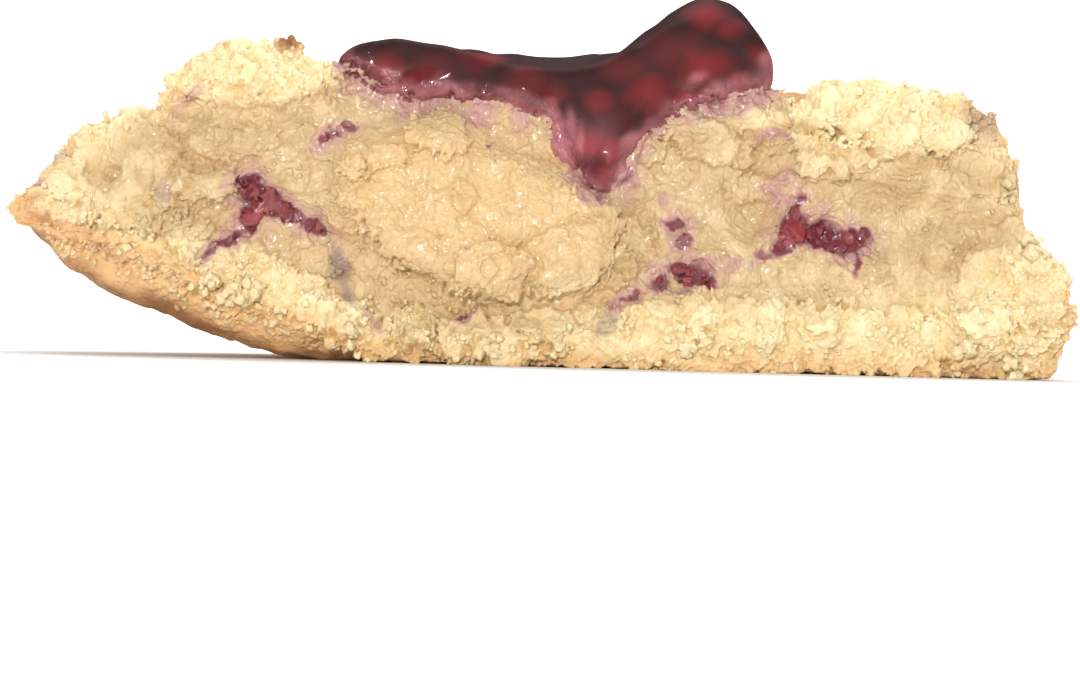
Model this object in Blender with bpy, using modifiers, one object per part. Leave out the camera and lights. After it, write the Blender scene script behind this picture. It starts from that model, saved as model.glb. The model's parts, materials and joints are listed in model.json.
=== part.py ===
"""Half of a jam cookie: a thick round biscuit broken across, with berry jam in its dented top.

The broken face looks along -Y and X runs along it. The base is the plane z = 0, and the origin is
the middle of the base's box. Metres, +Z up.
"""

import math

import bmesh
import bpy
from mathutils import Matrix, Vector, noise

MM = 0.001
TINY = 1e-6

# The whole biscuit, and the room that its broken face takes in front of the break's plane.
RADIUS = 45 * MM
FACE_PROUD = 3.6 * MM
BREAK_Y = -(RADIUS - FACE_PROUD) / 2

# Cells of the dough's block and of the jam's, along X, Y and Z.
DOUGH_CELLS = (64, 20, 18)
JAM_CELLS = (32, 12, 6)
DOUGH_KEPT = 0.56
JAM_KEPT = 0.75

# The gap between two solids that touch, and how much larger a pocket is than the jam in it.
GAP = 0.3 * MM
ROOM = 1.3 * GAP

# The section at the break, in millimetres: x along the face and z up. The rims are read downwards.
LEFT_RIM = ((-37.5, 20.1), (-40.6, 18.2), (-42.7, 14.8), (-44.9, 11.6), (-43.9, 9.4), (-41.5, 7.3))
RIGHT_RIM = ((38.2, 22.2), (39.6, 18.2), (41.2, 12.0), (44.0, 8.9), (45.1, 4.8), (43.4, 0.0))
TOP_LEFT = ((-37.5, 19.9), (-33.0, 20.7), (-31.3, 24.1), (-27.9, 26.5), (-23.5, 25.9), (-19.0, 24.9), (0, 24.0))
TOP_RIGHT = ((0, 24.0), (19.0, 23.5), (23.0, 24.0), (27.4, 25.1), (31.4, 23.7), (35.2, 23.4), (38.2, 21.9))
BASE_LEFT = ((-41.5, 7.3), (-36.8, 4.4), (-33.1, 3.4), (-28.9, 1.6), (-23.0, 0.0), (0, 0))
BASE_RIGHT = ((0, 0), (43.4, 0.0))

# The left section hands over to the right one between these cosines of the turn from the left.
HAND_OVER = (-0.1, 0.95)

# How far the left part of the base lifts beside the break, how deep that lift reaches, and the
# share of the height that it fades over.
LIFT = ((-45.0, 1.6), (-41.5, 2.6), (-37.0, 4.8), (-30.0, 4.5), (-22.0, 3.4), (-14.0, 0.0))
LIFT_DEPTH = 3.6 * MM
LIFT_FADE = 0.55

# The crust's uneven swell and its grain, each a size and a height. It starts a little above the
# base and behind the break, and leans outwards by this share of the radius at the top.
CRUST_SWELL = (9 * MM, 0.8 * MM)
CRUST_GRAIN = (4 * MM, 0.9 * MM)
CRUST_START = 0.15
CRUST_BEHIND = 0.5 * MM
CRUST_LEAN = 0.6 * RADIUS

# Lumps (over 0) and hollows (under 0) of the broken face: x, z, half width, half height, tilt in
# degrees and how far each stands out, in millimetres.
FACE_LUMPS = (
    (-6.2, 12.8, 11.8, 6.2, -18, 2.5),
    (-8.8, 19.4, 3.0, 2.2, 0, 1.2),
    (-14.5, 7.0, 7.0, 2.8, -20, -1.7),
    (-22.5, 20.5, 6.5, 4.5, -8, 1.3),
    (-33.0, 15.5, 8.0, 4.5, 8, 1.4),
    (-27.9, 14.2, 3.2, 1.1, 12, 1.0),
    (-25.0, 9.0, 6.0, 2.6, -28, -1.0),
    (-15.8, 16.4, 1.4, 1.2, 0, 1.0),
    (12.5, 16.5, 8.5, 4.2, -6, -1.2),
    (9.5, 4.2, 9.5, 3.2, 3, 1.3),
    (28.5, 19.5, 7.5, 4.0, -10, 1.5),
    (31.0, 10.0, 8.0, 4.8, 6, -0.9),
    (38.5, 7.0, 5.0, 4.5, 0, 1.2),
    (23.5, 4.0, 7.0, 3.0, 0, 0.9),
    (-2.5, 2.5, 5.0, 2.0, 0, 0.8),
)
LUMP_POWER = 3
LUMP_EDGE = (0.35, 1.35)
CRUMB_SIZE = 3.2 * MM
CRUMB_RELIEF = 1.1 * MM
CRUMB_LEVEL = 0.45
FACE_FADE = 6 * MM

# The jam's pool: its middle, its radius, and its section at the break in millimetres.
POOL_X = 0.6 * MM
POOL_RADIUS = 18.1 * MM
POOL_TOP = (
    (-17.5, 25.2), (-15.8, 26.5), (-13.4, 26.9), (-7.0, 26.1), (-2.8, 24.9), (3.0, 24.9), (8.0, 26.0), (13.0, 26.8),
    (17.5, 26.2), (18.7, 24.8),
)
POOL_BASE = (
    (-17.5, 24.8), (-15.0, 23.0), (-11.3, 21.9), (-9.1, 22.8), (-6.2, 21.8), (-2.5, 21.6), (0.5, 20.8), (8.8, 20.4),
    (11.2, 21.3), (14.3, 23.0), (18.7, 23.7),
)
# The dome over a berry, and the broad tongue of jam that runs down the face.
DOME = {"x": 13.4, "y": 3.5, "radius": 5.2, "height": 4.7}
TONGUE = {"x": 5.1, "width": 3.1, "drop": 6.0, "depth": 4.5, "blunt": 3.4}
DRUPELET = 3.6 * MM
DRUPELET_EDGE = 0.55
DRUPELET_RELIEF = 0.45 * MM
DRUPELETS_ABOVE = 25.2 * MM
# How far the jam stands out of the face, and how late it draws in towards its two ends.
JAM_PROUD = 0.9 * MM
JAM_BLUNT = 6

# A flake of crust that stands on the top's edge, and the crack beside the dome.
FLAKE = {"x": -21.7, "width": 1.1, "height": 2.0, "depth": 2.4}
CRACK = {"x": 20.6, "width": 0.7, "height": -2.6, "depth": 6.0}

# Veins of jam in the dough, each a chain of drops: x, z and radius in millimetres.
VEINS = {
    "jam_vein_left": (
        (-24.9, 15.0, 0.7), (-24.4, 14.1, 1.0), (-23.5, 13.4, 1.2), (-24.4, 12.7, 1.0), (-22.3, 12.9, 0.9),
        (-21.2, 12.2, 0.7), (-20.1, 11.8, 0.8), (-19.0, 11.1, 0.6), (-18.1, 10.4, 0.6), (-25.1, 11.7, 0.8),
        (-25.9, 10.8, 0.7), (-27.0, 9.9, 0.8), (-28.1, 9.3, 0.6), (-17.3, 9.3, 0.5), (-16.9, 8.2, 0.6),
    ),
    "jam_vein_middle": (
        (7.1, 6.0, 0.5), (8.2, 6.8, 0.6), (9.4, 7.7, 0.8), (10.7, 8.4, 0.9), (12.2, 8.2, 1.1), (13.4, 8.4, 0.8),
        (14.3, 7.7, 0.6), (12.0, 9.5, 0.7), (11.5, 10.7, 0.6), (11.2, 11.9, 0.8), (10.5, 12.9, 0.7),
    ),
    "jam_vein_right": (
        (21.3, 15.2, 0.5), (21.5, 14.0, 0.7), (20.9, 12.8, 1.1), (22.0, 12.0, 1.2), (20.0, 11.2, 0.9),
        (18.9, 10.3, 0.8), (18.0, 9.7, 0.6), (23.4, 11.8, 0.9), (24.6, 11.9, 0.9), (25.8, 11.4, 1.1),
        (27.1, 11.8, 0.7), (26.1, 10.1, 0.8), (26.5, 9.0, 0.5),
    ),
    "jam_streak_upper": ((-19.1, 18.0, 0.5), (-18.3, 18.5, 0.6), (-17.3, 18.8, 0.5), (-16.4, 19.5, 0.6)),
}
VEIN_STRETCH = 5.0
VEIN_VOXEL = 0.4 * MM
VEIN_KEPT = 0.11

# Colour, roughness and metallic value.
DOUGH_LOOK = ((0.83, 0.60, 0.31, 1), 0.75, 0.0)
JAM_LOOK = ((0.14, 0.018, 0.02, 1), 0.12, 0.0)


def clear_scene():
    """Removes what the file holds at its start."""
    for obj in list(bpy.data.objects):
        bpy.data.objects.remove(obj)


def collection(name):
    """A new collection in the scene."""
    made = bpy.data.collections.new(name)
    bpy.context.scene.collection.children.link(made)
    return made


def material(name, look):
    """A Principled material of one colour."""
    made = bpy.data.materials.new(name)
    made.use_nodes = True
    shader = made.node_tree.nodes["Principled BSDF"]
    colour, roughness, metallic = look
    shader.inputs["Base Color"].default_value = colour
    shader.inputs["Roughness"].default_value = roughness
    shader.inputs["Metallic"].default_value = metallic
    made.diffuse_color = colour
    return made


def smooth(low, high, value):
    """0 below low, 1 above high, and an S between them."""
    share = min(max((value - low) / (high - low), 0.0), 1.0)
    return share * share * (3 - 2 * share)


def bell(value, width):
    """1 at 0, falling to nothing about two widths away."""
    return math.exp(-((value / width) ** 2))


def shelf(value, width, blunt):
    """1 near 0, falling to nothing beyond the width, and the more suddenly the blunter it is."""
    return math.exp(-(abs(value / width) ** blunt))


def height_at(line, x):
    """z on an outline of (x, z) points, at x."""
    if x <= line[0][0]:
        return line[0][1]
    for (x0, z0), (x1, z1) in zip(line, line[1:]):
        if x <= x1:
            return z0 + (z1 - z0) * (x - x0) / (x1 - x0)
    return line[-1][1]


def point_at(line, share):
    """The point at this share of an outline's length."""
    spans = [math.dist(a, b) for a, b in zip(line, line[1:])]
    left = share * sum(spans)
    for (a, b), span in zip(zip(line, line[1:]), spans):
        if left <= span:
            part = left / span
            return a[0] + (b[0] - a[0]) * part, a[1] + (b[1] - a[1]) * part
        left -= span
    return line[-1]


def block(cells):
    """A box of x and z from -1 to 1 and y from 0 to 1, cut into cells along each axis."""
    mesh = bmesh.new()
    shape = Matrix.Translation((0, 0.5, 0)) @ Matrix.Diagonal((1, 0.5, 1, 1))
    bmesh.ops.create_cube(mesh, size=2, matrix=shape)
    for axis, count in enumerate(cells):
        along = [e for e in mesh.edges if abs(e.verts[0].co[axis] - e.verts[1].co[axis]) > TINY]
        bmesh.ops.subdivide_edges(mesh, edges=along, cuts=count - 1, use_grid_fill=True)
    return mesh


def half_section(side, share, height):
    """The distance from the middle and z, in millimetres, in the section's left (-1) or right (1) half."""
    rim, top, base = (
        (RIGHT_RIM, TOP_RIGHT, BASE_RIGHT) if side > 0 else (LEFT_RIM, TOP_LEFT[::-1], BASE_LEFT[::-1])
    )
    up = (height + 1) / 2
    top_x, top_z = point_at(top, share)
    base_x, base_z = point_at(base, share)
    rim_x, rim_z = point_at(rim, 1 - up)
    straight_x = rim[-1][0] + (rim[0][0] - rim[-1][0]) * up
    straight_z = rim[-1][1] + (rim[0][1] - rim[-1][1]) * up
    x = base_x + (top_x - base_x) * up + share * (rim_x - straight_x)
    z = base_z + (top_z - base_z) * up + share * (rim_z - straight_z)
    return abs(x), z


def round_the_back(place, left_at, right_at):
    """A block's point turned into the half disc: left_at and right_at give distance and z in each half."""
    share = max(abs(place.x), place.y)
    turn = math.atan2(place.y, place.x) if share > 0 else 0.0
    right = 1 - smooth(*HAND_OVER, -math.cos(turn))
    (reach_l, z_l), (reach_r, z_r) = left_at(share, place.z), right_at(share, place.z)
    reach = reach_r * right + reach_l * (1 - right)
    z = z_r * right + z_l * (1 - right)
    return Vector((reach * math.cos(turn), reach * math.sin(turn), z)) * MM


def lump(x, z, sizes):
    """How far one lump of the face stands out at x and z, in millimetres."""
    middle_x, middle_z, half_x, half_z, tilt, height = sizes
    c, s = math.cos(math.radians(tilt)), math.sin(math.radians(tilt))
    across, up = (x - middle_x) * c + (z - middle_z) * s, (z - middle_z) * c - (x - middle_x) * s
    away = (abs(across) / half_x) ** LUMP_POWER + (abs(up) / half_z) ** LUMP_POWER
    return height * (1 - smooth(*LUMP_EDGE, away))


def face_relief(x, z):
    """How far the broken face stands out of the break's plane at x and z, in metres."""
    total = sum(lump(x / MM, z / MM, sizes) for sizes in FACE_LUMPS) * MM
    crumbs = noise.turbulence(Vector((x, 0, z)) / CRUMB_SIZE, 2, False)
    return total + CRUMB_RELIEF * (crumbs - CRUMB_LEVEL)


def top_change(x, y):
    """The flake and the crack: how far they raise the dough's top at x and y, in metres."""
    total = 0
    for mark in (FLAKE, CRACK):
        total += mark["height"] * bell(x / MM - mark["x"], mark["width"]) * bell(y / MM, mark["depth"])
    return total * MM


def crust_relief(place):
    """The uneven crust, in metres."""
    (swell, swell_height), (grain, grain_height) = CRUST_SWELL, CRUST_GRAIN
    fine = noise.turbulence(place / grain, 2, False) - 0.5
    return swell_height * noise.noise(place / swell) + grain_height * fine


def dough_mesh():
    """The half biscuit without its pockets."""
    mesh = block(DOUGH_CELLS)
    for vert in mesh.verts:
        at = vert.co.copy()
        place = round_the_back(
            at,
            lambda share, height: half_section(-1, share, height),
            lambda share, height: half_section(1, share, height),
        )
        above_base = (at.z + 1) / 2
        if above_base > TINY and place.y > CRUST_BEHIND:
            out = Vector((place.x, place.y, at.z * CRUST_LEAN)).normalized()
            place += out * crust_relief(place) * smooth(0, CRUST_START, above_base)
        if above_base > 1 - TINY:
            place.z += top_change(place.x, place.y)
        lift = height_at(LIFT, place.x / MM) * MM * bell(place.y, LIFT_DEPTH)
        place.z += lift * (1 - smooth(0, LIFT_FADE, above_base))
        place.y -= face_relief(place.x, place.z) * bell(place.y, FACE_FADE)
        vert.co = place
    bmesh.ops.recalc_face_normals(mesh, faces=mesh.faces)
    return mesh


def pool_side(share, up, side):
    """The distance from the pool's middle and z, in millimetres, in its left (-1) or right (1) half."""
    middle = POOL_X / MM
    reach = share * POOL_RADIUS / MM
    x = middle + side * reach
    top, base = height_at(POOL_TOP, x), height_at(POOL_BASE, x)
    return reach, base + (top - base) * (up + 1) / 2


def drupelets(place):
    """Rounded beads of berry under the jam's skin, in metres."""
    distances, _ = noise.voronoi(place / DRUPELET)
    return DRUPELET_RELIEF * (1 - min(distances[0] / DRUPELET_EDGE, 1.0) ** 2)


def jam_mesh(grow):
    """The jam's pool with its dome and tongue, grown by this much on every side."""
    mesh = block(JAM_CELLS)
    for vert in mesh.verts:
        at = vert.co.copy()
        up = (at.z + 1) / 2
        place = round_the_back(
            at,
            lambda share, height: pool_side(share, height, -1),
            lambda share, height: pool_side(share, height, 1),
        )
        place.x += POOL_X
        x, y = place.x / MM, place.y / MM
        dome = bell(x - DOME["x"], DOME["radius"]) * bell(y - DOME["y"], DOME["radius"])
        place.z += DOME["height"] * MM * dome * up
        tongue = shelf(x - TONGUE["x"], TONGUE["width"], TONGUE["blunt"]) * bell(y, TONGUE["depth"])
        place.z -= TONGUE["drop"] * MM * tongue * (1 - up)
        if at.y < TINY:
            inside = 1 - abs(at.x) ** JAM_BLUNT
            place.y -= (JAM_PROUD + face_relief(place.x, place.z)) * inside
        vert.co = place
    bmesh.ops.recalc_face_normals(mesh, faces=mesh.faces)
    mesh.normal_update()
    moves = [(v, v.normal * (drupelets(v.co) * (v.co.z > DRUPELETS_ABOVE) + grow)) for v in mesh.verts]
    for vert, move in moves:
        vert.co += move
    return mesh


def vein_mesh(drops, grow):
    """A chain of drops as overlapping balls, drawn out into the dough."""
    mesh = bmesh.new()
    for x, z, radius in drops:
        size = radius * MM + grow
        shape = Matrix.Translation((x * MM, 0, z * MM)) @ Matrix.Diagonal((1, VEIN_STRETCH, 1, 1))
        bmesh.ops.create_icosphere(mesh, subdivisions=2, radius=size, matrix=shape)
    return mesh


def flush_with_face(obj, sink):
    """Draws a vein's front back until it lies this far behind the broken face."""
    for vert in obj.data.vertices:
        vert.co.y = max(vert.co.y, sink - face_relief(vert.co.x, vert.co.z))


def object_from(mesh, name, home, look=None):
    """A mesh object at the break, in a collection."""
    data = bpy.data.meshes.new(name)
    mesh.to_mesh(data)
    mesh.free()
    obj = bpy.data.objects.new(name, data)
    if look:
        data.materials.append(look)
    home.objects.link(obj)
    return obj


def settle(obj):
    """Puts an object's modifiers into its mesh."""
    graph = bpy.context.evaluated_depsgraph_get()
    baked = bpy.data.meshes.new_from_object(obj.evaluated_get(graph))
    obj.modifiers.clear()
    obj.data = baked


def thin_out(obj, kept):
    """Leaves this share of an object's triangles."""
    modifier = obj.modifiers.new("Fewer faces", "DECIMATE")
    modifier.ratio = kept
    settle(obj)


def melt(obj):
    """Makes overlapping balls one skin."""
    modifier = obj.modifiers.new("One skin", "REMESH")
    modifier.mode = "VOXEL"
    modifier.voxel_size = VEIN_VOXEL
    settle(obj)


def cut(obj, cutter):
    """Takes a cutter out of an object."""
    cutter.hide_render = True
    cutter.display_type = "WIRE"
    modifier = obj.modifiers.new("Room for " + cutter.name, "BOOLEAN")
    modifier.operation = "DIFFERENCE"
    modifier.solver = "MANIFOLD"
    modifier.object = cutter


def drop_scraps(obj):
    """Keeps an object's largest body alone."""
    mesh = bmesh.new()
    mesh.from_mesh(obj.data)
    left, bodies = set(mesh.verts), []
    while left:
        body, edge = set(), [left.pop()]
        while edge:
            vert = edge.pop()
            body.add(vert)
            near = [e.other_vert(vert) for e in vert.link_edges]
            edge += [v for v in near if v in left]
            left.difference_update(near)
        bodies.append(body)
    largest = max(bodies, key=len)
    bmesh.ops.delete(mesh, geom=[v for v in mesh.verts if v not in largest], context="VERTS")
    mesh.to_mesh(obj.data)
    mesh.free()


def make_veins(home, tools, jam_look, dough):
    """Each vein, and its pocket in the dough."""
    made = []
    for name, drops in VEINS.items():
        vein = object_from(vein_mesh(drops, 0), name, home, jam_look)
        melt(vein)
        thin_out(vein, VEIN_KEPT)
        flush_with_face(vein, 0)
        pocket = object_from(vein_mesh(drops, ROOM), "pocket_" + name, tools)
        melt(pocket)
        thin_out(pocket, VEIN_KEPT)
        cut(dough, pocket)
        made += [vein, pocket]
    return made


def main():
    clear_scene()
    home, tools = collection("jam_cookie"), collection("cutters")
    base = bpy.data.objects.new("break_plane", None)
    base.location.y = BREAK_Y
    home.objects.link(base)
    dough_look, jam_look = material("dough", DOUGH_LOOK), material("jam", JAM_LOOK)
    dough = object_from(dough_mesh(), "dough", home, dough_look)
    thin_out(dough, DOUGH_KEPT)
    jam = object_from(jam_mesh(0), "jam", home, jam_look)
    thin_out(jam, JAM_KEPT)
    well = object_from(jam_mesh(ROOM), "jam_well", tools)
    cut(dough, well)
    veins = make_veins(home, tools, jam_look, dough)
    settle(dough)
    drop_scraps(dough)
    for obj in (dough, jam, well, *veins):
        obj.parent = base


main()
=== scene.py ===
"""Looks of half a jam cookie: crumb, browned crust, glossy berry jam, a plain floor and a camera."""

from __future__ import annotations

import json
import logging
import math
import random
from collections.abc import Iterable
from dataclasses import dataclass, field
from enum import Enum

import bmesh
import bpy
import numpy as np
from mathutils import Matrix, Vector, noise
from mathutils.bvhtree import BVHTree
from mathutils.kdtree import KDTree

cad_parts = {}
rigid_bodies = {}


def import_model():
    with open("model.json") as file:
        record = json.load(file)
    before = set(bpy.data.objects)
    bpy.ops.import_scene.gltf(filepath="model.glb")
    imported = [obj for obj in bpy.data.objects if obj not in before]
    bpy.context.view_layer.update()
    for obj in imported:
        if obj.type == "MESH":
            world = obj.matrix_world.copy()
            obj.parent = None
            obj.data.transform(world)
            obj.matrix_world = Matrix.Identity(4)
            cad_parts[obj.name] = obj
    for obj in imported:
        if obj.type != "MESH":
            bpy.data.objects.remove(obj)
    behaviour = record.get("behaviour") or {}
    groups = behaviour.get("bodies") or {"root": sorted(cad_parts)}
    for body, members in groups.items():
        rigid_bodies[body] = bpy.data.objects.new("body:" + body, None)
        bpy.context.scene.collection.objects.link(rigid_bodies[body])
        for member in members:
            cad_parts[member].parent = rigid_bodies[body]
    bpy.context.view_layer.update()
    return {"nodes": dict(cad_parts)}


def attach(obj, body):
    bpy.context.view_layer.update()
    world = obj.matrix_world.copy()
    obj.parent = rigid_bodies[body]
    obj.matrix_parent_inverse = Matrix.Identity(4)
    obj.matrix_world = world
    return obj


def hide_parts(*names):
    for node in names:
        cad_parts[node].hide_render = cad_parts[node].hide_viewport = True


LOG = logging.getLogger("jam_cookie")

MM = 0.001
BREAK_Y = -20.7 * MM
WELD = 0.002 * MM
TINY = 1e-9
SEED = 7

# The photograph's frame, and the real size of one of its pixels on the broken face.
PHOTO_WIDTH, PHOTO_HEIGHT = 1080, 695
PIXEL = 90 * MM / 1073
BASE_PIXEL = (360.0, 362.0)
BASE_SLOPE = 19.0 / 697.0


class Slot(Enum):
    """The record's material slots."""

    DOUGH = "dough"
    JAM = "jam"


@dataclass(frozen=True)
class Patch:
    """An ellipse on the broken face, in millimetres, with a tilt in degrees and an amount."""

    x: float
    z: float
    half_x: float
    half_z: float
    tilt: float
    amount: float

    def weight(self, x: np.ndarray, z: np.ndarray, soft: float = 0.45) -> np.ndarray:
        """How strongly the patch holds at points of the face.

        Args:
            x: places along the face, in millimetres.
            z: heights, in millimetres.
            soft: the share of the ellipse over which it fades.

        Returns:
            The amount inside the ellipse, falling to 0 outside it.
        """
        c, s = math.cos(math.radians(self.tilt)), math.sin(math.radians(self.tilt))
        across = ((x - self.x) * c + (z - self.z) * s) / self.half_x
        up = ((z - self.z) * c - (x - self.x) * s) / self.half_z
        away = np.sqrt(across**2 + up**2)
        return self.amount * (1 - smooth(1 - soft, 1 + soft, away))


def patches(*rows: tuple) -> tuple[Patch, ...]:
    """Patches from rows of x, z, half width, half height, tilt and amount."""
    return tuple(Patch(*row) for row in rows)


def smooth(low: float, high: float, value: np.ndarray) -> np.ndarray:
    """An S from 0 below low to 1 above high.

    Args:
        low: where it starts to rise.
        high: where it reaches 1.
        value: the numbers to map.

    Returns:
        The mapped numbers.
    """
    share = np.clip((value - low) / (high - low), 0.0, 1.0)
    return share * share * (3 - 2 * share)


def linear(red: float, green: float, blue: float) -> tuple[float, float, float, float]:
    """A display colour of 0 to 255 a channel as the linear colour that a shader takes.

    Args:
        red: the display's red.
        green: the display's green.
        blue: the display's blue.

    Returns:
        Linear red, green, blue and an alpha of 1.
    """
    parts = [c / 255 for c in (red, green, blue)]
    parts = [c / 12.92 if c <= 0.04045 else ((c + 0.055) / 1.055) ** 2.4 for c in parts]
    return parts[0], parts[1], parts[2], 1.0


def speckle(points: np.ndarray, size: float, octaves: int, shift: float) -> np.ndarray:
    """Billowy noise at points.

    Args:
        points: rows of x, y and z in metres.
        size: the size of its largest lumps, in metres.
        octaves: how many finer layers it has.
        shift: moves the pattern, so that two of the same size differ.

    Returns:
        Values from 0 to about 1.
    """
    scaled = points / size + shift
    return np.array([noise.turbulence(p, octaves, False) for p in scaled.tolist()])


def waves(points: np.ndarray, size: float, shift: float = 0.0) -> np.ndarray:
    """Soft noise at points.

    Args:
        points: rows of x, y and z in metres.
        size: the size of its lumps, in metres.
        shift: moves the pattern.

    Returns:
        Values from about -1 to 1.
    """
    scaled = points / size + shift
    return np.array([noise.noise(p) for p in scaled.tolist()])


def crumbs(points: np.ndarray, size: float, shift: float = 0.0) -> np.ndarray:
    """Irregular crumbs of uneven height at points, with gaps between them.

    Args:
        points: rows of x, y and z in metres.
        size: the distance between crumbs, in metres.
        shift: moves the pattern.

    Returns:
        0 in the gaps and up to 1 on a tall crumb.
    """
    found = []
    for place in (points / size + shift).tolist():
        bent = Vector(place) + 0.45 * noise.noise_vector(Vector(place) * 1.7)
        distances, centres = noise.voronoi(bent)
        tall = 0.6 + 0.4 * noise.cell(centres[0] * 9.7)
        found.append(tall * max(0.0, 1 - (distances[0] / 0.8) ** 2))
    return np.array(found)


def terraces(cover: np.ndarray, levels: tuple, sharp: float) -> tuple[np.ndarray, np.ndarray]:
    """Layers of crumb that end in scalloped steps.

    Args:
        cover: the numbers whose contours are the steps.
        levels: where the steps are.
        sharp: how much of the numbers a step takes.

    Returns:
        How many steps lie below each point, and a shadow of 0 to 1 at the foot of each step.
    """
    rise = sum(smooth(level - sharp, level + sharp, cover) for level in levels)
    foot = sum(np.exp(-(((cover - level + 1.5 * sharp) / (1.6 * sharp)) ** 2)) for level in levels)
    return rise, np.clip(foot, 0, 1)


def juice(points: np.ndarray, spots: tuple[Patch, ...]) -> np.ndarray:
    """How strongly some patches of juice hold at points, with ragged edges.

    Args:
        points: rows of x, y and z in metres.
        spots: the patches, whose amounts are from 0 to 1.

    Returns:
        The strongest patch's weight at each point.
    """
    bend = 0.5 * np.stack([waves(points, 1.1 * MM, 4.0), waves(points, 1.1 * MM, 14.0)], axis=1)
    bend += 0.22 * np.stack([waves(points, 0.4 * MM, 4.0), waves(points, 0.4 * MM, 14.0)], axis=1)
    x, z = points[:, 0] / MM + bend[:, 0], points[:, 2] / MM + bend[:, 1]
    return np.max([spot.weight(x, z) for spot in spots], axis=0)


# Moist, pasty dough and the drier crumb that lies over it.
MOIST = patches(
    (3.0, 14.2, 35.0, 8.6, 0, 1.0), (-28.5, 14.8, 8.4, 5.0, 0, 1.0), (-25.0, 18.8, 8.6, 3.2, 4, 1.0),
    (31.0, 13.5, 8.0, 5.2, 0, 0.7), (-10.5, 20.0, 12.0, 4.0, -8, 1.0),
)
DRY = patches(
    (27.0, 23.3, 9.0, 3.4, -4, 1.0), (-25.8, 24.4, 8.2, 2.7, 2, 1.0), (-22.0, 5.5, 14.0, 2.4, -24, 0.9),
    (5.0, 2.2, 40.0, 2.6, 0, 1.0), (25.0, 18.6, 4.0, 2.2, 0, 0.6),
)
# The smooth golden slab, and the hollows under it, whose greyer tint is painted shade.
SLAB = patches(
    (-6.2, 12.8, 11.8, 6.2, -18, 1.0), (-2.0, 16.0, 6.5, 4.5, -10, 0.5),
)
HOLLOW_SHADING = patches(
    (-13.0, 7.2, 8.5, 2.8, -22, 1.0), (0.0, 5.4, 6.0, 2.4, 12, 0.8), (-27.5, 12.8, 6.0, 2.2, 0, 0.5),
    (15.0, 17.5, 7.5, 3.0, 0, 0.5),
)
# Flakes and lumps with ragged edges, whose amounts are how far they stand out in millimetres.
FLAKES = patches(
    (-4.2, 7.6, 3.4, 2.6, 0, 0.7), (-8.8, 19.3, 2.7, 2.2, 0, 0.8), (-28.2, 14.4, 3.4, 1.5, 12, 0.7),
    (-15.9, 16.3, 1.2, 1.1, 0, 0.8), (-13.4, 17.2, 2.2, 1.2, 10, 0.6), (3.6, 9.4, 6.2, 3.2, 18, 0.6),
    (-24.8, 24.2, 8.4, 3.2, 4, 0.8), (-26.6, 18.0, 4.6, 1.6, 8, 0.4), (28.0, 22.6, 8.6, 4.2, -8, 1.0),
    (23.8, 18.6, 4.6, 1.8, -14, 0.7), (20.0, 23.3, 0.9, 1.3, 8, 0.8), (23.2, 17.3, 2.4, 1.2, -16, 0.5),
    (40.0, 7.6, 5.5, 6.0, 0, 0.5), (8.8, 18.4, 1.5, 1.3, 0, 0.8), (13.6, 19.5, 4.8, 1.9, -20, 0.8),
    (17.4, 15.6, 2.8, 1.3, 6, 0.7), (20.3, 15.8, 1.4, 1.3, 0, 0.5), (-6.6, 14.2, 1.2, 1.1, 0, 0.4),
    (17.0, 2.9, 27.0, 3.2, 1, 0.7), (-6.0, 2.4, 7.5, 2.2, -8, 0.7), (-22.5, 6.6, 14.0, 2.2, -25, 0.6),
    (-35.0, 15.4, 5.6, 4.8, 0, 0.8), (-39.5, 12.8, 3.4, 2.2, 0, 0.5),
)
# The slab's sheets, which end in a step below and run into the paste above.
SHEETS = patches(
    (-5.6, 13.2, 12.4, 6.6, -18, 0.95), (-9.5, 11.2, 6.5, 3.4, -28, 0.35), (4.4, 9.6, 6.0, 2.4, 24, 0.45),
)
# Small pits in the crumb: x, z, radius and depth in millimetres.
PITS = (
    (-37.9, 15.6, 0.5, 0.9), (-36.3, 15.2, 0.6, 1.0), (-35.7, 15.5, 0.4, 0.8), (24.0, 20.0, 0.7, 1.8),
    (26.3, 20.0, 0.8, 1.6), (-7.2, 4.1, 0.9, 1.1), (-6.2, 4.3, 0.7, 0.9), (-18.9, 15.9, 0.7, 0.6),
    (19.8, 21.2, 0.5, 2.2), (33.4, 9.7, 0.7, 0.9), (13.9, 3.4, 0.4, 0.6), (20.8, 22.6, 0.3, 1.2),
    (-28.2, 15.9, 0.7, 0.5), (-13.4, 5.6, 0.8, 0.5), (36.7, 15.3, 0.4, 0.7), (-42.0, 11.3, 0.4, 0.5),
    (1.0, 9.0, 0.8, 0.6), (-1.8, 6.6, 1.1, 0.8), (30.5, 13.4, 0.9, 0.5), (-31.0, 19.5, 0.5, 0.7),
)
# The broken face's lower edge, and how far up from it the crumb is browned.
FACE_BASE = (
    (-45.0, 12.0), (-37.3, 9.4), (-33.1, 8.2), (-28.4, 5.9), (-20.1, 3.2), (-13.0, 0.0), (45.0, 0.0),
)
FACE_RIGHT = ((0.0, 43.4), (4.8, 45.1), (8.9, 44.0), (12.0, 41.2), (18.2, 39.6), (22.2, 38.2), (26.0, 34.0))
BROWNED = 2.3
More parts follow.
